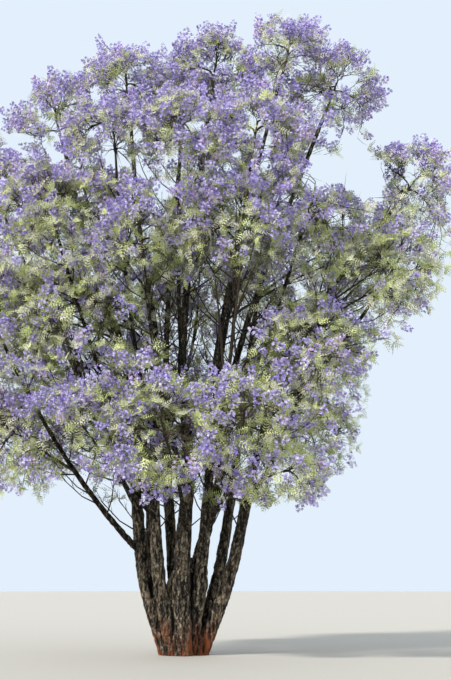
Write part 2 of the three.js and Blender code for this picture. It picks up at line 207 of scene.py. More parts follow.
def growStem(row, index):
    name, side, foot, waist, chest, girth, massRow = row
    mass = Mass(name, massRow)
    numbers = seededNumbers(index + 1)
    stray = lambda point: point + Vector((next(numbers), next(numbers), 0)) * habit["sway"]
    foot, waist, chest = (polar(*foot, 0), polar(side, waist, habit["waistHeight"]),
                          polar(side, chest, habit["chestHeight"]))
    high = stray(chest.lerp(mass.centre, habit["highShare"]))
    middle = stray(waist.lerp(chest, 0.5))
    path = splinePath([foot, waist, middle, chest, high, mass.entryFrom(high)])
    return Limb("stem_" + name, path, girth, girth * habit["stemTip"]), mass


def growBough(row, index):
    name, stem, height, girth, massRow = row
    mass = Mass(name, massRow)
    parent = limbs["stem_" + stem]
    start = parent.at(parent.shareAt(height))
    elbow = start.lerp(mass.centre, habit["bendOut"])
    elbow.z = start.z + (mass.centre.z - start.z) * habit["bendUp"]
    elbow += (mass.centre - start).cross(up) * habit["bendAside"] * (1 if index % 2 else -1)
    tip = max(habit["leastTip"], girth * habit["boughTip"])
    return Limb("bough_" + name, bendPath(start, elbow, mass.entryFrom(elbow)), girth, tip), mass


limbs, masses = {}, []
for index, row in enumerate(stemRows):
    limb, mass = growStem(row, index)
    limbs[limb.name] = limb
    masses.append(mass.hangOn(limb))
stems = list(limbs.values())
boughs, forks = [], []
for rows, grown in ((boughRows, boughs), (forkRows, forks)):
    for index, row in enumerate(rows):
        limb, mass = growBough(row, index)
        grown.append(limb)
        masses.append(mass.hangOn(limb))
limbs.update({bough.name: bough for bough in boughs})
masses += [Mass(name, row).hangOn(limbs["bough_" + bough], height)
           for name, bough, height, row in sideRows]
print(f"grown: {len(stems)} stems, {len(boughs)} boughs, {len(forks)} forks, {len(masses)} masses")


# Materials

def tone(red, green, blue, alpha=1.0):  # a screen colour as a shader colour
    return tuple(((c / 255 + 0.055) / 1.055) ** 2.4 for c in (red, green, blue)) + (alpha,)


def newMaterial(name, roughness):
    material = bpy.data.materials.new(name)
    material.use_nodes = True
    shader = material.node_tree.nodes["Principled BSDF"]
    shader.inputs["Roughness"].default_value = roughness
    shader.inputs["Specular IOR Level"].default_value = 0.25
    return material, shader


def plainMaterial(name, colour, roughness=0.6):
    material, shader = newMaterial(name, roughness)
    shader.inputs["Base Color"].default_value = colour
    return material


def barkMaterial(name, look):
    material, shader = newMaterial(name, look["roughness"])
    nodes, links = material.node_tree.nodes, material.node_tree.links

    def add(kind, output, inputs, **choices):  # a new node, with each input linked or set
        node = nodes.new("ShaderNode" + kind)
        for choice, value in choices.items():
            setattr(node, choice, value)
        for socket, value in inputs.items():
            if isinstance(value, bpy.types.NodeSocket):
                links.new(value, node.inputs[socket])
            else:
                node.inputs[socket].default_value = value
        return node.outputs[output]

    def mapped(stretch):  # below 1, a pattern is drawn out along the height
        return add("Mapping", "Vector", {"Vector": place, "Scale": (1, 1, stretch)})

    def noiseAt(stretch, size, detail=6.0, roughness=0.6):
        return add("TexNoise", "Fac", {"Vector": mapped(stretch), "Scale": size, "Detail": detail,
                                       "Roughness": roughness})

    def ramp(value, stops):
        node = nodes.new("ShaderNodeValToRGB")
        while len(node.color_ramp.elements) < len(stops):
            node.color_ramp.elements.new(0.5)
        for element, (position, colour) in zip(node.color_ramp.elements, stops):
            element.position, element.color = position, colour
        links.new(value, node.inputs["Fac"])
        return node.outputs["Color"]

    def edge(value, low, high):  # none below low, all above high
        return ramp(value, [(low, black), (high, white)])

    def mix(factor, first, second):
        return add("Mix", "Result", {"Factor": factor, "A": first, "B": second}, data_type="RGBA")

    def maths(operation, first, second):
        return add("Math", "Value", {0: first, 1: second}, operation=operation)

    black, white = (0, 0, 0, 1), (1, 1, 1, 1)
    place = add("TexCoord", "Object", {})
    fissures = noiseAt(look["fissureStretch"], look["fissures"])
    plates = {"Vector": mapped(look["plateStretch"]), "Scale": look["plates"]}
    plates = add("TexVoronoi", "Distance", plates, feature="DISTANCE_TO_EDGE")
    cracks = ramp(plates, [(0.0, look["crack"]), (look["crackWidth"], white)])
    # rise carries painted shade: darker in the fissures, flutes and hollows between the feet,
    # lighter on raised wood
    rise = add("Attribute", "Fac", {}, attribute_name="rise")
    shadeAndFissures = maths("MULTIPLY", maths("ADD", rise, fissures), 0.5)
    shadedGrain = ramp(shadeAndFissures, [(stop, look[part])
                        for stop, part in zip(look["shadedGrain"], ("dark", "mid", "light"))])
    spots = noiseAt(look["lichenStretch"], look["lichenSize"], 8.0, 0.72)
    spots = edge(spots, look["lichenFrom"], look["lichenFrom"] + look["lichenSoftness"])
    colour = mix(cracks, look["dark"], shadedGrain)
    # lichen only where rise is high, so it stays out of the painted shade
    colour = mix(maths("MULTIPLY", rise, spots), colour, look["lichen"])
    if "stain" in look:
        stain = look["stain"]
        height = add("SeparateXYZ", "Z", {"Vector": place})
        low = add("MapRange", "Result", {"Value": height, "From Min": stain["top"], "From Max": 0})
        patches = maths("ADD", noiseAt(stain["stretch"], stain["size"]),
                        maths("MULTIPLY", low, stain["lowGain"]))
        cover = maths("MULTIPLY", low, stain["strength"])
        cover = maths("MULTIPLY", cover, edge(patches, *stain["patches"]))
        cover = maths("MULTIPLY", cover, edge(shadeAndFissures, *stain["ridges"]))
        colour = mix(cover, colour, stain["colour"])
    links.new(colour, shader.inputs["Base Color"])
    bump = {"Strength": look["bumpStrength"], "Distance": look["bump"],
            "Height": maths("MULTIPLY", fissures, cracks)}
    links.new(add("Bump", "Normal", bump), shader.inputs["Normal"])
    return material


def finishPiece(obj, replaced):
    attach(obj, "root")
    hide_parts(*replaced)
    return obj


def linkMesh(mesh, materials, smooth):
    obj = bpy.data.objects.new(mesh.name, mesh)
    bpy.context.scene.collection.objects.link(obj)
    for material in materials:
        mesh.materials.append(material)
    mesh.polygons.foreach_set("use_smooth", np.full(len(mesh.polygons), smooth))
    return obj


# Trunk, stems and boughs

bark = {
    "roughness": 0.92, "fissures": 14.0, "fissureStretch": 0.16, "bump": 0.03, "bumpStrength": 0.8,
    "plates": 17.0, "plateStretch": 0.42, "crack": tone(110, 110, 110), "crackWidth": 0.12,
    "dark": tone(5, 4, 3), "mid": tone(24, 19, 15), "light": tone(104, 90, 72),
    "shadedGrain": (0.38, 0.57, 0.84), "lichen": tone(158, 146, 124), "lichenSize": 20.0,
    "lichenStretch": 0.5, "lichenFrom": 0.50, "lichenSoftness": 0.14,
}
footStain = {  # rusty red on the ridges at the foot, in patches that thin out upward
    "colour": tone(114, 60, 30), "top": 0.8, "size": 3.4, "stretch": 0.4, "lowGain": 0.13,
    "strength": 1.4, "patches": (0.46, 0.70), "ridges": (0.37, 0.66),
}
trunkBark = barkMaterial("trunkBark", dict(bark, stain=footStain))
stemBark = barkMaterial("stemBark", bark)
boughBark = barkMaterial("boughBark", dict(bark, fissures=16.0, plates=18.0, bump=0.01,
                                           lichenFrom=0.55))

wood = {
    "joinFrom": 2.0, "joinTo": 2.2,  # the root crown ends inside the stems between these heights
    "core": [(-0.1, 0.17), (0.6, 0.19), (1.1, 0.23), (1.4, 0.24), (1.7, 0.16), (1.9, 0.03)],
    "coreLobes": [(4, 0.14, 1.6), (7, 0.09, -1.1)],  # count, depth, turn a metre
    "coreStretch": 0.5, "coreShift": (0.05, 0.04),  # wider from left to right the higher it is
    "coreSides": 42, "coreRings": 16,
    "sides": 22, "boughSides": 12, "ringStep": 0.26, "leastStep": 0.045,
    # count, depth, turn a metre and turn a limb
    "flutes": [(3, 0.07, 0.35, 1.7), (5, 0.045, -0.5, 2.9), (8, 0.02, 0.8, 4.3)],
    "footDepth": 0.1, "sink": 0.16, "voxel": 0.021, "relief": 0.017, "reliefShare": 0.12,
    "ridgeScale": (13, 13, 1.9), "fineScale": (31, 31, 6), "reliefMix": (0.9, 3.4, 0.8),
    # how light the wood starts, and how dark its fissures, flutes and hollows are: painted shade in
    # the recesses, partly also the bark's own darker fissures
    "crownRise": 0.5, "tubeRise": 0.62, "riseGain": 22, "fluteGain": 0.5, "hollowShadeGain": 12,
    "hollowSteps": 60,
}


def barkRelief(point, girth):  # ridges and fissures that run up the wood
    ridge, fine = (noise.noise(Vector([c * scale for c, scale in zip(point, wood[name])]))
                   for name in ("ridgeScale", "fineScale"))
    level, ridgeDepth, fineDepth = wood["reliefMix"]
    deep = min(wood["relief"], wood["reliefShare"] * girth)
    return deep * (level - ridgeDepth * abs(ridge) + fineDepth * fine)


def ringedCylinder(sides, rings):  # one unit high and one in girth, with its foot at 0
    bm = bmesh.new()
    bmesh.ops.create_cone(bm, cap_ends=True, segments=sides, radius1=1, radius2=1, depth=1)
    uprights = [edge for edge in bm.edges if abs(edge.verts[0].co.z - edge.verts[1].co.z) > 0.5]
    bmesh.ops.subdivide_edges(bm, edges=uprights, cuts=rings - 2)
    bmesh.ops.translate(bm, verts=bm.verts, vec=(0, 0, 0.5))
    return bm


def meshFromBmesh(name, bm):
    mesh = bpy.data.meshes.new(name)
    bmesh.ops.recalc_face_normals(bm, faces=bm.faces)
    bm.to_mesh(mesh)
    bm.free()
    return mesh


def addTo(bm, piece):
    part = meshFromBmesh("part", piece)
    bm.from_mesh(part)
    bpy.data.meshes.remove(part)


def growTube(bm, limb, start, stop, sides, girthAt, seed, relief=True, foot=0.0):
    t, shares, ahead = start, [start], 0.01
    while t < stop:  # rings stand closer where the limb is thin
        step = max(wood["leastStep"], wood["ringStep"] * girthAt(t))
        if t < 1 - ahead:
            pace = (limb.at(t + ahead) - limb.at(t)).length / ahead
        t = min(t + step / pace, stop)
        shares.append(t)
    tube = ringedCylinder(sides, len(shares))
    across = up.cross(limb.at(1) - limb.at(0)).normalized()
    rise = tube.verts.layers.float.new("rise")
    for v in tube.verts:
        ring = round(v.co.z * (len(shares) - 1))
        t, angle = shares[ring], math.atan2(v.co.y, v.co.x)
        along, centre = limb.tangent(t), limb.at(t)
        second = along.cross(across).normalized()
        outward = second.cross(along) * math.cos(angle) + second * math.sin(angle)
        if foot and ring == 0:
            centre = centre - along * foot
        girth = girthAt(t)
        lobes = sum(depth * math.cos(number * angle + (seed * own + i) + turn * centre.z)
                    for i, (number, depth, turn, own) in enumerate(wood["flutes"]))
        point = centre + outward * girth * (1 + lobes)
        raised = barkRelief(point, girth) if relief else 0
        v.co = point + outward * raised
        # painted shade: the colour darkens where the relief and the flutes sink in, partly also the
        # bark's own darker fissures
        v[rise] = wood["tubeRise"] + (raised + lobes * girth * wood["fluteGain"]) * wood["riseGain"]
    addTo(bm, tube)


def growCore(bm):  # the wood between the feet, which widens upward like a vase
    core = ringedCylinder(wood["coreSides"], wood["coreRings"])
    heights, girths = zip(*wood["core"])
    for v in core.verts:
        height = heights[0] + v.co.z * (heights[-1] - heights[0])
        angle = math.atan2(v.co.y, v.co.x)
        lobes = sum(depth * math.cos(number * angle + turn * height)
                    for number, depth, turn in wood["coreLobes"])
        girth = float(np.interp(height, heights, girths)) * (1 + lobes)
        rise = max(0, height)
        stretch, (shiftX, shiftY) = 1 + wood["coreStretch"] * rise, wood["coreShift"]
        v.co = (v.co.x * girth * stretch + shiftX * rise, v.co.y * girth + shiftY * rise, height)
    addTo(bm, core)


def evenOut(bm, steps):
    for _ in range(steps):
        bmesh.ops.smooth_vert(bm, verts=bm.verts, factor=0.5,
                              use_axis_x=True, use_axis_y=True, use_axis_z=True)


def makeRootCrown():  # the feet of all the stems, grown together and cut flat at height 0
    bm = bmesh.new()
    for seed, limb in enumerate(stems):
        top = limb.shareAt(wood["joinTo"])

        def girthAt(t):
            height = limb.at(t).z
            spread = (1 + (habit["footGirth"] - 1) * math.exp(-height / habit["footHeight"])
                      + habit["flare"] * math.exp(-height / habit["flareHeight"]))
            sink = min(1, max(0, (height - wood["joinFrom"]) / (wood["joinTo"] - wood["joinFrom"])))
            return limb.girthAt(t) * spread * (1 - wood["sink"] * sink)

        growTube(bm, limb, 0, top, wood["sides"], girthAt, seed,
                 relief=False, foot=wood["footDepth"])
    growCore(bm)
    rough = linkMesh(meshFromBmesh("roughCrown", bm), [], False)
    remesh = rough.modifiers.new("Remesh", "REMESH")
    remesh.mode, remesh.voxel_size = "VOXEL", wood["voxel"]
    fused = rough.evaluated_get(bpy.context.evaluated_depsgraph_get())
    bm = bmesh.new()
    bm.from_mesh(fused.to_mesh())
    bpy.data.objects.remove(rough)
    evenOut(bm, 1)
    rise = bm.verts.layers.float.new("rise")
    places = [v.co.copy() for v in bm.verts]
    evenOut(bm, wood["hollowSteps"])
    smoothed = [v.co.copy() for v in bm.verts]
    for v, place in zip(bm.verts, places):
        v.co = place
    bm.normal_update()
    for v, place, even in zip(bm.verts, places, smoothed):
        raised = barkRelief(place, 1)
        # painted shade: the hollows between the feet, found against a smoothed copy, are darkened
        hollowShade = (place - even).dot(v.normal) * wood["hollowShadeGain"]
        v[rise] = wood["crownRise"] + hollowShade + raised * wood["riseGain"]
        v.co = place + v.normal * raised
    cut = bmesh.ops.bisect_plane(bm, geom=bm.verts[:] + bm.edges[:] + bm.faces[:], dist=1e-5,
                                 plane_co=(0, 0, 0), plane_no=(0, 0, 1), clear_inner=True)
    rim = [g for g in cut["geom_cut"] if isinstance(g, bmesh.types.BMEdge)]
    bmesh.ops.holes_fill(bm, edges=rim, sides=0)
    return linkMesh(meshFromBmesh("rootCrown", bm), [trunkBark], True)


rootCrown = finishPiece(makeRootCrown(), ["trunk"])
print("root crown:", len(rootCrown.data.polygons), "faces")

bm = bmesh.new()
for seed, limb in enumerate(stems):
    growTube(bm, limb, limb.shareAt(wood["joinFrom"]), 1, wood["sides"], limb.girthAt, seed)
for seed, limb in enumerate(forks, seeds["forks"]):
    growTube(bm, limb, 0, 1, wood["boughSides"], limb.girthAt, seed)
stemWood = linkMesh(meshFromBmesh("stemWood", bm), [stemBark], True)
finishPiece(stemWood, [limb.name for limb in stems])

bm = bmesh.new()
for seed, limb in enumerate(boughs, seeds["boughs"]):
    growTube(bm, limb, 0, 1, wood["boughSides"], limb.girthAt, seed)
boughWood = linkMesh(meshFromBmesh("boughWood", bm), [boughBark], True)
finishPiece(boughWood, [limb.name for limb in boughs])
print(f"stems: {len(stemWood.data.polygons)} faces, boughs: {len(boughWood.data.polygons)} faces")


# Branches and twigs inside the masses

branching = {
    "stemWobble": 0.05, "stemTip": 0.014, "mainLead": 0.4, "mainWobble": 0.12,
    "clumps": 26.0,  # in a mass of size 1, and by the square of its size in the others
    "clumpReach": (0.46, 0.70), "clumpTurn": 1.9, "firstTurn": 0.4, "clumpRoom": 0.05,
    "underAngle": 35, "boxMargin": 0.019, "innerShare": 0.7, "innerProbe": 1.1,
    "lumps": 0.2, "lumpSize": 1.6,  # how uneven the outside of a mass is
    "mainGirth": (0.026, 0.011), "clumpGirth": (0.012, 0.006), "twigGirth": (0.0065, 0.003),
}
lowest, highest = np.array(cadBox)
margin = branching["boxMargin"] * (highest - lowest) * (1, 1, 0)  # nothing grows above the solids
lowest, highest = lowest - margin, highest + margin


def spreadDirection(i, count, turn):  # evenly spread over a ball
    height = 1 - (2 * i + 1) / count
    ring = math.sqrt(1 - height * height)
    angle = i * goldenAngle + turn
    return Vector((ring * math.cos(angle), ring * math.sin(angle), height))


def outness(point, mass):  # below 0 inside a mass
    offset = point - mass.centre
    offset.z /= habit["roundness"]
    return offset.length_squared - mass.size ** 2


def ownsPoint(point, mass):
    own = outness(point, mass)
    return own < 0 and all(other is mass or own < outness(point, other) for other in masses)


def hasInside(point):
    return any(outness(point, mass) < 0 for mass in masses)


def withinBox(point, room):
    return all(low + room < c < high - room for low, c, high in zip(lowest, point, highest))


def flattened(direction, reach):
    return Vector((direction.x, direction.y, direction.z * habit["roundness"])) * reach


# where fewer flowers stand, as seen from the front: x, height, half width, half height, share left
greenPlaces = [(3.4, 7.1, 2.3, 1.7, 0.12), (2.6, 4.6, 1.7, 1.1, 0.3), (-2.6, 6.9, 2.4, 1.7, 0.45),
               (0.6, 7.2, 1.8, 1.4, 0.5)]
greenCore = 0.6  # share of such a place's size within which the share holds in full
lowBloom = {"below": 5, "share": 0.8}
eye = Vector((0.82, -25.6, 1.6))
# what stays clear of leaves, as seen from the eye against the plane y = 0: x, height, half width
# and half height of each place, by how far back it is open
openPlaces = {
    0.3: [(0.50, 6.65, 1.10, 1.05)],  # the stems, behind which leaves stand again
    -0.4: [  # along the low left bough
        (-2.05, 3.40, 0.24, 0.32), (-2.36, 3.82, 0.24, 0.34), (-2.64, 4.25, 0.24, 0.34),
        (-2.92, 4.68, 0.22, 0.30),
    ],
    9: [
        (2.30, 2.60, 1.10, 0.50),  # under the low boughs
        (2.95, 9.98, 0.62, 0.50), (3.77, 9.90, 0.58, 0.60), (1.70, 10.70, 0.18, 0.36),
        (-2.05, 10.90, 0.28, 0.26), (-1.60, 10.35, 0.32, 0.44), (-1.06, 10.74, 0.24, 0.24),
        (-0.97, 10.15, 0.20, 0.28), (-0.45, 9.65, 0.24, 0.28), (-2.80, 10.45, 0.26, 0.38),
        (-3.55, 10.65, 0.24, 0.28), (-1.96, 11.70, 0.24, 0.30), (0.92, 10.05, 0.16, 0.24),
        (3.32, 11.92, 0.22, 0.18), (2.50, 12.35, 0.16, 0.16),
        # round the top of the crown
        (4.30, 11.05, 0.42, 0.62), (4.75, 11.35, 0.42, 0.60), (1.38, 13.35, 0.24, 0.80),
        (0.46, 13.75, 0.80, 0.40), (-1.20, 13.35, 0.95, 0.66), (-2.50, 12.90, 0.40, 0.76),
        (-4.10, 12.40, 1.05, 1.00),
    ],
}
airy = {"above": 8.8, "size": 2.4, "level": -0.30}  # small gaps all over the top
bloomWithin = (0.10, 0.68)  # share of twigs in flower in a leafy clump and in a flowering one


def seenAt(point):  # where the eye sees a point against the plane y = 0
    return eye + (point - eye) * (-eye.y / (point.y - eye.y))


def inOpening(point):
    seen = seenAt(point)
    return any(point.y < back and math.hypot((seen.x - x) / wide, (seen.z - height) / high) < 1
               for back, places in openPlaces.items() for x, height, wide, high in places)


def isOpen(point):
    seen = seenAt(point)
    gap = seen.z > airy["above"] and noise.noise(seen * airy["size"]) < airy["level"]
    return gap or inOpening(point)


def bloomAt(point, mass):
    share = mass.bloom * (lowBloom["share"] if point.z < lowBloom["below"] else 1)
    for x, height, wide, high, left in greenPlaces:
        away = math.hypot((point.x - x) / wide, (point.z - height) / high)
        share *= left + (1 - left) * min(1, max(0, (away - greenCore) / greenCore))
    return share


heart = {"at": Vector((0.3, 0.3, 0)), "top": 8.2, "topPull": 1.6, "foot": 3.4, "footPull": 0.8}


def outwardFrom(point):  # away from the heart of the crown, and level between its foot and top
    outward = point - heart["at"]
    above, below = max(outward.z - heart["top"], 0), min(outward.z - heart["foot"], 0)
    outward.z = above * heart["topPull"] + below * heart["footPull"]
    return outward.normalized()


runs = {"stem": [], "main": [], "clump": [], "twig": []}  # paths, with girths at foot and tip
tips = []  # of sprays: point, direction, mass's number, whether deep inside, share in flower


def branch(kind, girths, start, elbow, end):
    path = bendPath(start, elbow, end)
    runs[kind].append((path, *girths))
    return path


def turnedBack(direction, mass, angle):  # within an angle of the way that the mass's stem came
    return direction.dot(mass.along) <= -math.cos(math.radians(angle))


def growMass(mass, index):
    dice = newDice("masses", index)
    length = (mass.end - mass.root).length
    middle = mass.root.lerp(mass.end, 0.5) + wobble(dice, branching["stemWobble"] * length)
    girths = (mass.girth, branching["stemTip"])
    stemPath = branch("stem", girths, mass.root, middle, mass.end)
    mass.mains = [stemPath]
    for i in range(habit["mains"]):
        direction = spreadDirection(i, habit["mains"], index * goldenAngle)
        forward = direction.dot(mass.along)
        if turnedBack(direction, mass, habit["backAngle"]):
            continue
        rise = habit["firstRoot"] + (habit["lastRoot"] - habit["firstRoot"]) * (1 + forward) / 2
        share = ((mass.centre + mass.along * rise * mass.size) - mass.root).length / length
        start = stemPath(min(1, share))
        tip = mass.centre + flattened(direction, habit["mainReach"] * mass.size)
        if isOpen(tip):
            continue
        lead = mass.along * branching["mainLead"] + wobble(dice, branching["mainWobble"])
        elbow = start + lead * (tip - start).length
        mass.mains.append(branch("main", branching["mainGirth"], start, elbow, tip))
    count = round(branching["clumps"] * mass.size ** 2)
    turn = index * branching["clumpTurn"] + branching["firstTurn"]
    for i in range(count):
        direction = spreadDirection(i, count, turn)
        lump = 1 + branching["lumps"] * noise.noise(direction * branching["lumpSize"] + mass.centre)
        reach = dice.uniform(*branching["clumpReach"]) * lump * mass.size
        spot = mass.centre + flattened(direction, reach)
        under = turnedBack(direction, mass, branching["underAngle"])
        if under or not ownsPoint(spot, mass) or not withinBox(spot, branching["clumpRoom"]):
            continue
        inner = hasInside(spot + outwardFrom(spot) * branching["innerProbe"])
        if inner and dice.rand() > branching["innerShare"]:
            continue
        growClump(mass, spot, direction, inner, dice)


clump = {
    "joins": (0.45, 0.6, 0.75, 0.9, 1.0),  # where on a main limb it may start
    "lookBack": 0.05, "forward": 0.5, "backCost": 0.5, "lead": 0.45, "wobble": 0.1,
    "probes": (0.2, 0.4, 0.6, 0.8),
    "twigs": 7, "firstTwig": 0.5, "twigLength": (0.14, 0.27), "twigLead": 0.3,
    "aim": (0.8, 0.85), "lift": 0.35, "hang": -0.3, "hangBelow": 3.9,  # outward, spread, up
    "past": -0.2, "hangPast": 0.4,  # how far a twig may reach out of the mass
    "sprayRoom": 0.33, "sprayLift": 0.3,
}


def growClump(mass, spot, direction, inner, dice, bridging=False):
    best = None
    for main in mass.mains:
        for share in clump["joins"]:
            point = main(share)
            ahead = (point - main(share - clump["lookBack"])).normalized()
            reach = spot - point
            back = max(0, clump["forward"] - ahead.dot(reach.normalized()))
            cost = reach.length + clump["backCost"] * back
            if best is None or cost < best[0]:
                best = (cost, point, ahead)
    _, start, ahead = best
    length = (spot - start).length
    elbow = start + ahead * clump["lead"] * length + wobble(dice, clump["wobble"]) * length
    path = bendPath(start, elbow, spot)
    crossing = bridging and any(inOpening(path(share)) for share in clump["probes"])
    count = clump["twigs"] + (dice.rand() > 0.5)
    turn = dice.uniform(*anyTurn)
    bloom = bloomWithin[int(dice.rand() < bloomAt(spot, mass))]
    hanging = spot.z < clump["hangBelow"]
    lift = clump["hang" if hanging else "lift"]
    past = clump["hangPast" if hanging else "past"]
    lastShare = 0
    for j in range(count):
        spread = spreadDirection(j, count, turn)
        aim = weighted((direction, spread, up), (*clump["aim"], lift)).normalized()
        share = clump["firstTwig"] + (1 - clump["firstTwig"]) * (j + 1) / count
        twigStart = path(share)
        twigTip = twigStart + aim * dice.uniform(*clump["twigLength"]) * mass.size
        outside = crossing or outness(twigTip, mass) > past and not bridging
        if outside or isOpen(twigTip) or not withinBox(twigTip + aim * clump["sprayRoom"], 0):
            continue
        lead = direction * clump["twigLead"] + aim * clump["twigLead"]
        twigElbow = twigStart + lead * (twigTip - twigStart).length
        branch("twig", branching["twigGirth"], twigStart, twigElbow, twigTip)
        aim = (aim + up * clump["sprayLift"]).normalized()
        tips.append((twigTip, aim, masses.index(mass), inner, bloom))
        lastShare = share
    if lastShare:
        runs["clump"].append((firstPart(path, lastShare), *branching["clumpGirth"]))


bridge = {
    "span": 1.25, "ring": 7, "lowRing": 10, "out": (0.6, 0.9), "room": (0.95, 1.3), "boxRoom": 0.3,
    "lowest": 3,
}


def growBridges():  # clumps that close the creases between neighbouring masses
    dice = newDice("bridges")
    grown = 0
    for i, mass in enumerate(masses):
        for other in masses[i + 1:]:
            apart = other.centre - mass.centre
            if apart.length > bridge["span"] * (mass.size + other.size):
                continue
            middle = mass.centre.lerp(other.centre, mass.size / (mass.size + other.size))
            first = apart.orthogonal().normalized()
            second = apart.cross(first).normalized()
            turn = dice.uniform(*anyTurn)
            ring = bridge["ring" if middle.z > airy["above"] else "lowRing"]
            for k in range(ring):
                angle = turn + k * 2 * math.pi / ring
                side = first * math.cos(angle) + second * math.sin(angle)
                spot = middle + side * dice.uniform(*bridge["out"]) * min(mass.size, other.size)
                nearest = min(masses, key=lambda m: (spot - m.centre).length / m.size)
                away = spot - nearest.centre
                low, high = bridge["room"]
                if (not low < away.length / nearest.size < high or spot.z < bridge["lowest"]
                        or not withinBox(spot, bridge["boxRoom"])):
                    continue
                growClump(nearest, spot, away.normalized(), False, dice, bridging=True)
                grown += 1
    print("bridges:", grown)


shoots = {
    "heights": (2.4, 9.6), "footRoom": 0.6, "topRoom": 0.4, "spacing": 0.21, "frontSpacing": 0.55,
    "uneven": (0.7, 1.3), "length": (0.8, 2.1), "aim": (0.7, 0.8, 0.25),  # along, aside, up
    "lead": (0.2, 0.42), "boxRoom": 0.5, "withinReach": 2.2, "past": 0.2,
    "clearHeight": 2.5, "clearFrom": 0.5, "clearSlope": 0.5,  # the higher, the further out
    "girth": (0.018, 0.007), "twigs": 9, "firstTwig": 0.4, "twigLength": (0.2, 0.45),
    "twigAim": (0.6, 0.8, 0.4), "bloom": 0.3,  # on, spread, up
}
frontStems = ("stem_left", "stem_front_left", "stem_front", "stem_front_right")


def climb(limb, low, high, spacing, uneven, dice):  # up a limb: each place and the way on
    height = low
    while height < high:
        t = limb.shareAt(height)
        height += spacing * dice.uniform(*uneven)
        yield limb.at(t), limb.tangent(t)


def growShoots(limb, seed):  # thin leafy branches inside the crown
    dice = newDice("shoots", seed)
    turn = dice.uniform(*anyTurn)
    spacing = shoots["frontSpacing" if limb.name in frontStems else "spacing"]
    low = max(shoots["heights"][0], limb.at(0).z + shoots["footRoom"])
    high = min(shoots["heights"][1], limb.at(1).z - shoots["topRoom"])
    for start, along in climb(limb, low, high, spacing, shoots["uneven"], dice):
        first = along.orthogonal().normalized()
        side = first * math.cos(turn) + along.cross(first) * math.sin(turn)
        turn += goldenAngle
        length = dice.uniform(*shoots["length"])
        tip = start + weighted((along, side, up), shoots["aim"]).normalized() * length
        aside = max(0, abs(tip.x) - shoots["clearFrom"])
        clear = shoots["clearHeight"] + shoots["clearSlope"] * aside
        if not withinBox(tip, shoots["boxRoom"]) or tip.z < clear:
            continue
        mass = min(masses, key=lambda other: outness(tip, other))
        if reachOf(tip) > shoots["withinReach"] and outness(tip, mass) > shoots["past"]:
            continue
        elbow = start + weighted((along, side), shoots["lead"]) * length
        path = branch("clump", shoots["girth"], start, elbow, tip)
        for j in range(shoots["twigs"]):
            root = path(shoots["firstTwig"] + (1 - shoots["firstTwig"]) * (j + 1) / shoots["twigs"])
            spread = spreadDirection(j, shoots["twigs"], turn)
            aim = weighted(((tip - start).normalized(), spread, up), shoots["twigAim"]).normalized()
            twigTip = root + aim * dice.uniform(*shoots["twigLength"])
            if isOpen(twigTip):
                continue
            branch("twig", branching["twigGirth"], root, root.lerp(twigTip, 0.5), twigTip)
            tips.append((twigTip, aim, masses.index(mass), True, shoots["bloom"]))


risers = {
    "heights": (4.3, 7.6), "footRoom": 0.3, "topRoom": 0.4, "spacing": 0.36, "uneven": (0.7, 1.3),
    "length": (1.5, 2.9), "lean": 0.45, "side": 0.6, "lead": (0.1, 0.45),
    "girth": (0.032, 0.011), "boxRoom": 0.5, "forks": 3, "firstFork": 0.25, "forkSpan": 0.6,
    "forkSpread": 0.7, "forkBend": 0.05, "forkLength": (0.5, 1.2), "forkGirth": (0.014, 0.005),
}


def growRisers(limb, seed):  # slender limbs that fan out from the stems into the crown
    dice = newDice("risers", seed)
    low, high = risers["heights"]
    high = min(high, limb.at(1).z - risers["topRoom"])
    for start, along in climb(limb, low, high, risers["spacing"], risers["uneven"], dice):
        outward = Vector((start.x, start.y, 0)).normalized() * risers["lean"]
        side = wobble(dice, 1) * risers["side"]
        aim = (along + outward + side).normalized()
        length = dice.uniform(*risers["length"])
        tip = start + aim * length
        if (not withinBox(tip, risers["boxRoom"]) or not hasInside(tip) or isOpen(tip)
                or start.z < limb.at(0).z + risers["footRoom"]):
            continue
        elbow = start + weighted((along, aim), risers["lead"]) * length
        path = branch("main", risers["girth"], start, elbow, tip)
        for j in range(risers["forks"]):
            share = (j + dice.rand()) / risers["forks"]
            root = path(risers["firstFork"] + risers["forkSpan"] * share)
            forkAim = (aim + wobble(dice, risers["forkSpread"])).normalized()
            forkTip = root + forkAim * dice.uniform(*risers["forkLength"])
            sheltered = hasInside(forkTip) or reachOf(forkTip) < shoots["withinReach"]
            if isOpen(forkTip) or not sheltered:
                continue
            elbow = root.lerp(forkTip, 0.5) + side * risers["forkBend"]
            branch("clump", risers["forkGirth"], root, elbow, forkTip)


for index, mass in enumerate(masses):
    growMass(mass, index)
growBridges()
for index, limb in enumerate(stems + boughs + forks):
    growShoots(limb, index)
for index, limb in enumerate(stems + forks):
    growRisers(limb, index)
print("branching:", {kind: len(found) for kind, found in runs.items()}, len(tips), "tips")


def unit(vectors):
    return vectors / np.linalg.norm(vectors, axis=-1, keepdims=True)


def besides(axes, upright):  # up, or to the right where an axis itself is as good as upright
    return np.where(np.abs(axes[..., 2:]) > upright, (1.0, 0, 0), (0, 0, 1.0))


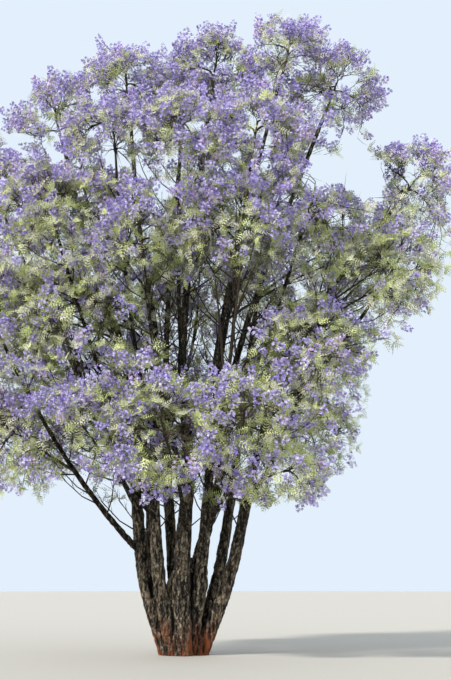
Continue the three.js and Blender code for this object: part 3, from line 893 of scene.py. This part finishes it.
def tubeArrays(found, steps, sides):  # closed tubes that end in a point
    shares = np.linspace(0, 1, steps)
    paths = np.array([[path(t) for t in shares] for path, _, _ in found])
    foot, tip = np.array([girths for _, *girths in found]).T[..., None]
    girths = foot + (tip - foot) * shares
    along = unit(np.gradient(paths, axis=1))
    first = unit(np.cross(along, besides(along.mean(axis=1, keepdims=True), upright=0.8)))
    second = np.cross(along, first)
    angles = (np.arange(sides) * 2 * math.pi / sides)[:, None]
    rings = first[:, :-1, None] * np.cos(angles) + second[:, :-1, None] * np.sin(angles)
    rings = paths[:, :-1, None] + rings * girths[:, :-1, None, None]
    points = np.concatenate([rings.reshape(len(found), -1, 3), paths[:, -1:]], axis=1)
    faces = [(0, k, k + 1) for k in range(1, sides - 1)]
    for ring in range(steps - 2):
        for k in range(sides):
            a, b = ring * sides + k, ring * sides + (k + 1) % sides
            faces += [(a, a + sides, b), (b, a + sides, b + sides)]
    last = (steps - 2) * sides
    faces += [(last + k, last + sides, last + (k + 1) % sides) for k in range(sides)]
    return points, np.array(faces)


def stamped(points, faces):  # the same faces on each row of points
    shift = np.arange(len(points))[:, None, None] * points.shape[1]
    return points.reshape(-1, 3), (faces[None] + shift).reshape(-1, 3)


def joined(parts):
    points, faces, kinds = zip(*parts)
    shifts = np.cumsum([0] + [len(some) for some in points])
    faces = [some + shift for some, shift in zip(faces, shifts)]
    return np.concatenate(points), np.concatenate(faces), np.concatenate(kinds)


def meshFromArrays(name, points, faces, kinds, materials, smooth=False):
    mesh = bpy.data.meshes.new(name)
    mesh.vertices.add(len(points))
    mesh.vertices.foreach_set("co", points.astype(np.float32).ravel())
    mesh.loops.add(faces.size)
    mesh.loops.foreach_set("vertex_index", faces.astype(np.int32).ravel())
    mesh.polygons.add(len(faces))
    mesh.polygons.foreach_set("loop_start", np.arange(0, faces.size, 3, dtype=np.int32))
    mesh.polygons.foreach_set("material_index", kinds.astype(np.int32))
    mesh.update(calc_edges=True)
    return linkMesh(mesh, materials, smooth)


twigBark = plainMaterial("twigBark", tone(64, 56, 47), roughness=0.9)
tubeRows = (("stem", 8, 6), ("main", 7, 5), ("clump", 4, 3), ("twig", 3, 3))  # kind, steps, sides
parts = []
for kind, steps, sides in tubeRows:
    points, faces = stamped(*tubeArrays(runs[kind], steps, sides))
    parts.append((points, faces, np.zeros(len(faces), int)))
twigWood = meshFromArrays("twigWood", *joined(parts), [twigBark], smooth=True)
finishPiece(twigWood, [])
print("twigs:", len(twigWood.data.polygons), "faces")


# Blossom and leaf

bloomTones = {"Deep": tone(138, 122, 187), "Mid": tone(161, 150, 203), "Light": tone(185, 175, 217),
              "Pink": tone(189, 168, 204), "Pale": tone(206, 200, 226)}
deep, mid, light, pink, pale = range(len(bloomTones))
bloomMaterials = [plainMaterial("blossom" + name, colour) for name, colour in bloomTones.items()]
leafTones = {"Yellow": tone(187, 193, 132), "Cream": tone(189, 189, 159),
             "Green": tone(151, 161, 101), "Shade": tone(123, 131, 80)}
yellow, cream, green, shade = range(len(leafTones))
leafMaterials = [plainMaterial("leaf" + name, colour, roughness=0.55)
                 for name, colour in leafTones.items()]

panicle = {
    "florets": 18, "petals": 5, "petalAngle": 50, "shapes": 6, "length": 0.27, "width": 0.095,
    "narrowing": 0.8, "inward": 0.35, "aim": (-0.4, 0.9), "floretSize": (0.8, 1.15),
    "bell": 0.042, "mouth": 0.029, "lip": 1.25, "shades": (0.55, 0.25, 0.20), "size": (0.8, 1.2),
}
tuft = {
    "leaves": 4, "fewer": 2, "shapes": 5, "length": (0.14, 0.22), "spread": (0.4, 1.35),
    "roll": 0.7, "pairs": 4, "firstPair": 0.6, "endBlade": 0.93, "pinna": 0.5, "narrowing": 0.6,
    "pairAim": (0.86, -0.12, 0.5), "endAim": (0, -0.45, 0.9),
    "width": 0.15, "widest": 0.45, "slimming": 0.4, "rib": 0.022, "ribSlimming": 0.7, "arch": 0.35,
    "shades": (0.7, 0.15, 0.15), "size": (0.8, 1.2), "fewerSize": (0.8, 1.1),
}


def frames(directions, rolls):  # turns local z to each direction, and rolls about it
    directions = unit(directions)
    side = unit(np.cross(besides(directions, upright=0.95), directions))
    top = np.cross(directions, side)
    cosine, sine = np.cos(rolls)[:, None], np.sin(rolls)[:, None]
    return np.stack([side * cosine + top * sine, top * cosine - side * sine, directions], axis=2)


def copies(points, faces, roots, aims, rolls, sizes):  # a shape at each root, turned and sized
    turned = np.einsum("nij,vj->nvi", frames(aims, rolls), points)
    return stamped(roots[:, None] + turned * sizes[:, None, None], faces)


def panicleShape(seed):  # florets round a spike, wide below and narrow above
    dice = newDice("panicles", seed)
    bell, bellFaces = [(0, 0, 0)], []
    for k in range(panicle["petals"]):
        mouth = panicle["mouth"] * (panicle["lip"] if k == 0 else 1)
        for turn in (-0.5, 0.5):
            a = k * 2 * math.pi / panicle["petals"] + turn * math.radians(panicle["petalAngle"])
            bell.append((mouth * math.cos(a), mouth * math.sin(a), panicle["bell"]))
        bellFaces.append((0, 2 * k + 2, 2 * k + 1))
    count = panicle["florets"]
    share = (np.arange(count) + dice.rand(count)) / count
    angle = np.arange(count) * goldenAngle + dice.rand(count)
    radius = panicle["width"] * (1 - panicle["narrowing"] * share)
    radius *= dice.uniform(panicle["inward"], 1, count)
    outward = np.stack([np.cos(angle), np.sin(angle), np.zeros(count)], axis=1)
    roots = outward * radius[:, None] + np.outer(share * panicle["length"], up)
    aims = outward + np.outer(dice.uniform(*panicle["aim"], count), up)
    rolls, sizes = dice.uniform(*anyTurn, count), dice.uniform(*panicle["floretSize"], count)
    points, faces = copies(np.array(bell), np.array(bellFaces), roots, aims, rolls, sizes)
    shades = np.repeat(dice.choice(3, count, p=panicle["shades"]), len(bellFaces))
    return points, faces, shades


def leafShape():  # a leaf of paired pinnae on an arched rib
    points, faces = [], []
    pairs, first = tuft["pairs"], tuft["firstPair"]
    blades = [((k + first) / (pairs + 1 - first), side) for k in range(pairs) for side in (-1, 1)]
    ribAt = lambda share: np.array([0, -tuft["arch"] * share ** 2, share])
    for share, side in blades + [(tuft["endBlade"], 0)]:
        base = ribAt(share)
        size = tuft["pinna"] * (1.0 - tuft["narrowing"] * share)
        out = np.array(tuft["pairAim"]) * (side, 1, 1) if side else np.array(tuft["endAim"])
        wide = np.array([0 if side else 1, 0, -1 if side else 0]) * tuft["width"]
        bend = base + out * size * tuft["widest"] + wide * (1.0 - tuft["slimming"] * share)
        faces.append((len(points), len(points) + 1, len(points) + 2))
        points += [base, bend, base + out * size]
    half, count = np.array([tuft["rib"] / 2, 0, 0]), len(points)
    slim = tuft["ribSlimming"]
    for share, across in ((0, -1), (0, 1), (0.5, -slim), (0.5, slim), (1, 0)):
        points.append(ribAt(share) + half * across)
    faces += [(count + a, count + b, count + c) for a, b, c in ((0, 1, 3), (0, 3, 2), (2, 3, 4))]
    return np.array(points), np.array(faces)


def tuftShape(use, seed, leaves):  # young leaves that fan out from the end of a twig
    dice = newDice(use, seed)
    points, faces = leafShape()
    turns = np.arange(leaves) * goldenAngle + dice.rand(leaves)
    lean = dice.uniform(*tuft["spread"], leaves)
    aims = np.stack([np.cos(turns) * np.sin(lean), np.sin(turns) * np.sin(lean), np.cos(lean)], 1)
    rolls = dice.uniform(-tuft["roll"], tuft["roll"], leaves)
    sizes = dice.uniform(*tuft["length"], leaves)
    shades = np.repeat(dice.choice(3, leaves, p=tuft["shades"]), len(faces))
    return *copies(points, faces, np.zeros((leaves, 3)), aims, rolls, sizes), shades


spray = {
    "innerBloom": 0.6, "foot": 3, "span": 9,  # heights over which the tones change
    "pink": (0.30, 0.15), "deep": 0.28, "light": 0.30,  # shares: at the foot and gained at the top
    "cream": (0.3, 0.35), "green": 0.35, "shade": 0.6, "faceLimit": 195000,
}
dice = newDice("sprays")
tipPoints, tipAims, tipMass, tipInner, tipBloom = map(np.array, zip(*tips))
chance = lambda share: dice.rand(len(tips)) < share
flowering = chance(tipBloom * np.where(tipInner, spray["innerBloom"], 1))
heightShare = np.clip((tipPoints[:, 2] - spray["foot"]) / spray["span"], 0, 1)


def sprayPart(rows, shapes, toneRows, span):  # one of the shapes on each of the tips
    parts = []
    for number, (points, faces, shades) in enumerate(shapes):
        some = rows[rows % len(shapes) == number]
        if len(some):
            rolls, sizes = dice.uniform(*anyTurn, len(some)), dice.uniform(*span, len(some))
            placed = copies(points, faces, tipPoints[some], tipAims[some], rolls, sizes)
            parts.append((*placed, toneRows[some][:, shades].ravel()))
    return joined(parts)


def shareOut(rows, facesEach):  # rows, in order of their masses, in even pieces under the limit
    order = np.argsort(tipMass[rows], kind="stable")
    rows, reached = rows[order], np.cumsum(facesEach[rows[order]])
    count = math.ceil(reached[-1] / spray["faceLimit"])
    return np.split(rows, np.searchsorted(reached, reached[-1] * np.arange(1, count) / count))


def finishSprays(kind, number, rows, part, materials):
    blooming = kind == "blossom"
    obj = meshFromArrays(f"{kind}{number + 1}", *part, materials, blooming)
    covered = {masses[i].node for i in set(tipMass[rows]) if masses[i].inFlower == blooming}
    finishPiece(obj, sorted(covered))
    print(obj.name, len(obj.data.polygons), "faces")


# Blossom: each panicle has a tone of its own, with some florets lighter or deeper
panicles = [panicleShape(seed) for seed in range(panicle["shapes"])]
bloomOwn = np.where(chance(spray["pink"][0] + spray["pink"][1] * heightShare), pink, mid)
bloomOwn = np.where(chance(spray["deep"]), deep, bloomOwn)
bloomOwn = np.where(chance(spray["light"]), light, bloomOwn)
bloomShades = np.stack([bloomOwn, np.where(bloomOwn == light, pale, light),
                        np.where(bloomOwn == deep, mid, deep)], axis=1)
bloomFaces = np.full(len(tips), panicle["petals"] * panicle["florets"])
for number, rows in enumerate(shareOut(np.flatnonzero(flowering), bloomFaces)):
    part = sprayPart(rows, panicles, bloomShades, panicle["size"])
    finishSprays("blossom", number, rows, part, bloomMaterials)

# Leaf: a tuft at the end of each twig that doesn't flower, and a few leaves below each panicle
tufts = [tuftShape("tufts", seed, tuft["leaves"]) for seed in range(tuft["shapes"])]
collars = [tuftShape("collars", seed, tuft["fewer"]) for seed in range(tuft["shapes"])]
creamy = chance(spray["cream"][0] + spray["cream"][1] * heightShare)
leafOwn = np.where(creamy, cream, np.where(chance(spray["green"]), green, yellow))
# painted shade: leaves deep inside the crown mostly take the darker Shade tone
leafOwn = np.where(tipInner & chance(spray["shade"]), shade, leafOwn)
leafShades = np.stack([leafOwn, np.where(leafOwn == cream, yellow, cream),
                       np.where(leafOwn == shade, green, leafOwn)], axis=1)
leafFaces = len(leafShape()[1]) * np.where(flowering, tuft["fewer"], tuft["leaves"])
for number, rows in enumerate(shareOut(np.arange(len(tips)), leafFaces)):
    leafy, below = rows[~flowering[rows]], rows[flowering[rows]]
    parts = [sprayPart(leafy, tufts, leafShades, tuft["size"]),
             sprayPart(below, collars, leafShades, tuft["fewerSize"])]
    finishSprays("leaf", number, rows, joined(parts), leafMaterials)


# Floor, light and camera

studio = {
    "floorSize": 90, "floor": tone(160, 156, 148), "backdrop": tone(214, 226, 238), "glow": 1.14,
    # each light's strength, softness in degrees, the side that it comes from and its colour
    "lights": {"sun": (5.1, 6, (-1.1, -0.85, 1.05), (1.0, 0.97, 0.92)),
               "fill": (1.15, 90, (0.8, -1.0, 0.35), (0.93, 0.96, 1.0)),
               "backFill": (1.2, 90, (0.1, 1.0, 0.6), (0.93, 0.96, 1.0))},
    "cameraPitch": 10.56, "lens": 66.2,
}
bm = bmesh.new()
bmesh.ops.create_circle(bm, cap_ends=True, segments=64, radius=studio["floorSize"])
floorMaterial = plainMaterial("floor", studio["floor"], roughness=0.9)
linkMesh(meshFromBmesh("floor", bm), [floorMaterial], False)

world = bpy.data.worlds.new("studio")
bpy.context.scene.world = world
world.use_nodes = True
backdrop = world.node_tree.nodes["Background"]
backdrop.inputs["Color"].default_value = studio["backdrop"]
backdrop.inputs["Strength"].default_value = studio["glow"]
for name, (strength, softness, side, colour) in studio["lights"].items():
    beam = bpy.data.lights.new(name, "SUN")
    beam.energy, beam.angle, beam.color = strength, math.radians(softness), colour
    lamp = bpy.data.objects.new(name, beam)
    lamp.rotation_euler = Vector(side).to_track_quat("Z", "Y").to_euler()
    bpy.context.scene.collection.objects.link(lamp)

cameraData = bpy.data.cameras.new("camera")
cameraData.lens, cameraData.sensor_width = studio["lens"], 36
camera = bpy.data.objects.new("camera", cameraData)
camera.location = eye
camera.rotation_euler = (math.radians(90 + studio["cameraPitch"]), 0, 0)
bpy.context.scene.collection.objects.link(camera)
bpy.context.scene.camera = camera
bpy.context.scene.view_settings.view_transform = "Standard"
